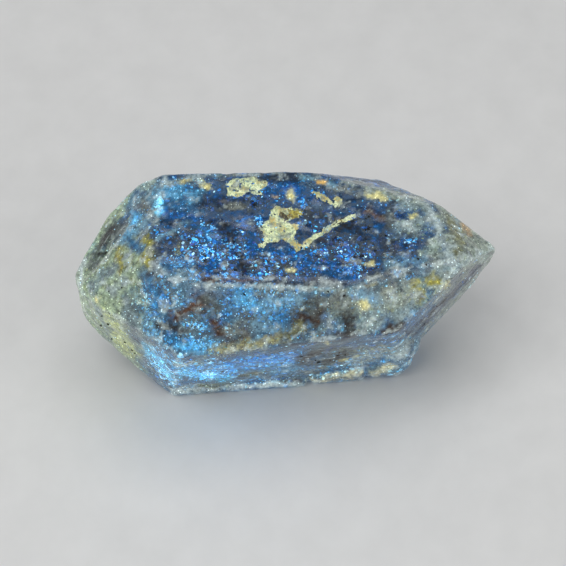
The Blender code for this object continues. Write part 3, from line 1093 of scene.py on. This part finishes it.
def principled(name):
    """A new material with its shader."""
    material = bpy.data.materials.new(name)
    material.use_nodes = True
    return material, material.node_tree, material.node_tree.nodes["Principled BSDF"]


def connect(tree, value, socket):
    """Link a socket, or set a plain value."""
    if isinstance(value, bpy.types.NodeSocket):
        tree.links.new(value, socket)
    else:
        socket.default_value = (*value, 1.0) if isinstance(value, tuple) else value


def fill(tree, node, **values):
    """Link or set a node's inputs, named with _ for each space."""
    for name, value in values.items():
        connect(tree, value, node.inputs[name.replace("_", " ")])


def make_node(tree, kind, **values):
    """The outputs of a new node with these inputs."""
    node = tree.nodes.new("ShaderNode" + kind)
    fill(tree, node, **values)
    return node.outputs


def grain_places(tree):
    """Places in the piece, squeezed in depth like those of the paint."""
    squeeze = tree.nodes.new("ShaderNodeMapping")
    squeeze.vector_type = "TEXTURE"
    turn = Matrix((RIGHT, UP, BACK)).transposed().to_euler()
    fill(tree, squeeze, Rotation=turn, Scale=Vector((1.0, 1.0, GRAIN_STRETCH)))
    fill(tree, squeeze, Vector=make_node(tree, "TexCoord")["Object"])
    return squeeze.outputs["Vector"]


def grain_node(tree, size, detail=4.0, roughness=0.6):
    """Noise with a grain size in millimetres."""
    place = grain_places(tree)
    grains = 1 / (size * MM)
    values = {"Vector": place, "Scale": grains, "Detail": detail, "Roughness": roughness}
    return make_node(tree, "TexNoise", **values)["Fac"]


def mix_node(tree, factor, first, second):
    """A mix of two colours, each a socket or a value."""
    mix = tree.nodes.new("ShaderNodeMix")
    mix.data_type = "RGBA"
    sockets = {socket.identifier: socket for socket in mix.inputs}
    connect(tree, first, sockets["A_Color"])
    connect(tree, second, sockets["B_Color"])
    connect(tree, factor, sockets["Factor_Float"])
    return next(socket for socket in mix.outputs if socket.identifier == "Result_Color")


def math_node(tree, operation, first, second, third=0.0, clamp=False):
    """Arithmetic on sockets or numbers."""
    node = tree.nodes.new("ShaderNodeMath")
    node.operation = operation
    node.use_clamp = clamp
    for socket, value in zip(node.inputs, (first, second, third)):
        connect(tree, value, socket)
    return node.outputs["Value"]


def plus(tree, base, amount, value, clamp=False):
    """A base with this amount of a value added to it."""
    return math_node(tree, "MULTIPLY_ADD", value, amount, base, clamp)


def spread(tree, value, low, high):
    """Stretch a value so that low becomes 0 and high becomes 1."""
    return make_node(tree, "MapRange", Value=value, From_Min=low, From_Max=high)["Result"]


def speckles(tree, size, share, softness):
    """Scattered specks of uneven strength, 0 to 1, in a share of the cells of this size."""
    cells = make_node(tree, "TexVoronoi", Vector=grain_places(tree), Scale=1 / (size * MM))
    dot = spread(tree, cells["Distance"], SPECK_CORE + softness, SPECK_CORE)
    lottery = make_node(tree, "SeparateColor", Color=cells["Color"])
    odds = plus(tree, share - 0.45, 0.9, grain_node(tree, *SPECK_CLUMPS))
    chosen = math_node(tree, "LESS_THAN", lottery["Red"], odds)
    strength = plus(tree, 0.25, 0.75, lottery["Green"])
    return math_node(tree, "MULTIPLY", math_node(tree, "MULTIPLY", dot, chosen), strength)


def scaled_colour(tree, colour, factor):
    """A colour made brighter or darker by a number."""
    node = tree.nodes.new("ShaderNodeVectorMath")
    node.operation = "SCALE"
    fill(tree, node, Vector=colour, Scale=factor)
    return node.outputs["Vector"]


def milk_value(tree, painted, bright, dark):
    """How milky the skin is: as painted, mottled, and more so in specks."""
    mottle = spread(tree, grain_node(tree, *MOTTLE), 0.34, 0.66)
    milk = plus(tree, painted, MOTTLE_MILK, mottle)
    milk = plus(tree, MILK_LEVEL * MILK_STRENGTH, MILK_STRENGTH, milk)
    milk = plus(tree, milk, BRIGHT_MILK, bright)
    return plus(tree, milk, DARK_MILK, dark, clamp=True)


def haze_colour(tree, painted, bright, dark):
    """Colour of the haze under the skin: as painted, with grain, dust and specks."""
    grain = spread(tree, grain_node(tree, *GRAIN), 0.3, 0.7)
    dust = spread(tree, grain_node(tree, *DUST), 0.34, 0.66)
    shade = plus(tree, SHADE_LEVEL, GRAIN_SHADE, grain)
    shade = plus(tree, shade, DUST_SHADE, dust)
    shade = plus(tree, shade, BRIGHT_SHADE, bright)
    shade = math_node(tree, "MULTIPLY", shade, plus(tree, 1.0, DARK_SHADE, dark))
    return scaled_colour(tree, painted, shade)


def quartz_material():
    """See-through quartz with a milky, stained, speckled and finely pitted skin, which gives off a
    painted glow and painted glints.
    """
    material, tree, shader = principled("petroleum_quartz")
    layer = tree.nodes.new("ShaderNodeVertexColor")
    layer.layer_name = "tint"
    bright = speckles(tree, *BRIGHT_SPECKS)
    dark = speckles(tree, *DARK_SPECKS)
    milk = milk_value(tree, layer.outputs["Alpha"], bright, dark)
    haze = haze_colour(tree, layer.outputs["Color"], bright, dark)
    cover = math_node(tree, "MULTIPLY", milk, 3.0, clamp=True)
    # Painted glow: the haze colour given off as light, more where the skin is milkier
    glow = scaled_colour(tree, haze, math_node(tree, "MULTIPLY", milk, PAINTED_SKIN_GLOW))
    pits = grain_node(tree, *PITS)
    bump = make_node(tree, "Bump", Height=pits, Strength=0.25, Distance=PIT_DEPTH * MM)
    fill(
        tree,
        shader,
        Base_Color=mix_node(tree, cover, linear(CLEAR_TINT), haze),
        Transmission_Weight=plus(tree, 1.0, -0.95, milk),
        Roughness=plus(tree, 0.03, 0.28, milk),
        # Painted glints: scattered specks of light over the painted glow
        Emission_Color=mix_node(tree, speckles(tree, *PAINTED_GLINT_SPECKS), glow, linear(PAINTED_GLINT)),
        Emission_Strength=1.0,
        IOR=QUARTZ_IOR,
        Specular_IOR_Level=0.5,
        Sheen_Weight=0.08,
        Sheen_Roughness=0.4,
        Sheen_Tint=linear(SHEEN_TINT),
        Normal=bump["Normal"],
    )
    passed = tuple(1 - loss / ABSORPTION for loss in ABSORBED)
    absorb = make_node(tree, "VolumeAbsorption", Color=passed, Density=ABSORPTION)
    fill(tree, tree.nodes["Material Output"], Volume=absorb["Volume"])
    return material


def flake_material(kind):
    """One kind of flake: a dim or bright painted glow, uneven from spot to spot."""
    glow, body, strength = FLAKES[kind]
    material, tree, shader = principled(f"flake_{kind}")
    grain = spread(tree, grain_node(tree, 0.3, 1.0), 0.35, 0.65)
    dim = tuple(channel * 0.45 for channel in linear(glow))
    fill(tree, shader, Base_Color=linear(body), Roughness=0.35, Emission_Strength=strength)
    fill(tree, shader, Emission_Color=mix_node(tree, grain, dim, linear(glow)))
    return material


def oil_material(kind):
    """Oil, mottled with blotches and a darker grain, giving off a painted glow in its colours."""
    main, blotches, grain = [linear(colour) for colour in FILM_COLOURS[kind]]
    material, tree, shader = principled(f"oil_{kind}")
    patches = spread(tree, grain_node(tree, 0.7, 3.0), 0.48, 0.6)
    fine = spread(tree, grain_node(tree, 0.16, 4.0, 0.75), 0.56, 0.42)
    colour = mix_node(tree, fine, mix_node(tree, patches, main, blotches), grain)
    fill(tree, shader, Base_Color=colour, Emission_Color=colour)
    fill(tree, shader, Emission_Strength=0.8, Roughness=0.5)
    return material


def floor_material():
    """Plain pale floor."""
    material, tree, shader = principled("pale_floor")
    grain = spread(tree, grain_node(tree, 3.0, 3.0), 0.3, 0.7)
    fill(tree, shader, Base_Color=mix_node(tree, grain, *FLOOR_SHADES), Roughness=0.7)
    return material


# Stage and light


def make_floor():
    """A wide plain floor, just under the resting face."""
    mesh = bpy.data.meshes.new("floor")
    bm = bmesh.new()
    bmesh.ops.create_grid(bm, x_segments=1, y_segments=1, size=FLOOR_SIZE)
    bm.to_mesh(mesh)
    bm.free()
    floor = link("floor", mesh)
    floor.location.z = -FLOOR_GAP
    mesh.materials.append(floor_material())


def area_light(name, place, size, power):
    """A large soft light, aimed at the crystal."""
    data = bpy.data.lights.new(name, "AREA")
    data.size = size
    data.energy = power
    light = bpy.data.objects.new(name, data)
    light.location = place
    towards = LIGHT_TARGET - Vector(place)
    light.rotation_euler = towards.to_track_quat("-Z", "Y").to_euler()
    bpy.context.scene.collection.objects.link(light)


def light_studio():
    """Plain soft light from above, both sides and behind."""
    for name, settings in LIGHTS.items():
        area_light(name, *settings)
    world = bpy.data.worlds.new("studio")
    bpy.context.scene.world = world
    world.use_nodes = True
    background = world.node_tree.nodes["Background"]
    fill(world.node_tree, background, Color=SURROUNDINGS, Strength=SURROUNDINGS_STRENGTH)
    bpy.context.scene.view_settings.view_transform = "Standard"


make_camera()
crystal = skin_mesh()
weather(crystal)
SURFACE = BVHTree.FromObject(crystal, bpy.context.evaluated_depsgraph_get())
paint_skin(crystal)
crystal.data.materials.append(quartz_material())
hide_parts(NODE)
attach(crystal, "root")

KIND_MATERIALS = {kind: flake_material(kind) for kind in FLAKES}
heaps = {slot: FlakeHeap() for slot in SLOTS}
draw = random.Random(FLAKE_SEED)
gather_all()
scatter(crystal)
cluster_hidden_sides(crystal)
add_specks()
for slot, heap in heaps.items():
    flakes = heap.piece(f"flakes_{slot}")
    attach(flakes, "root")

OIL_MATERIALS = {kind: oil_material(kind) for kind in FILM_COLOURS}
for name, (outline, depth, tatters, kind) in FILMS.items():
    film = oil_film(name, outline, depth, tatters)
    film.data.materials.append(OIL_MATERIALS[kind])
    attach(film, "root")

make_floor()
light_studio()
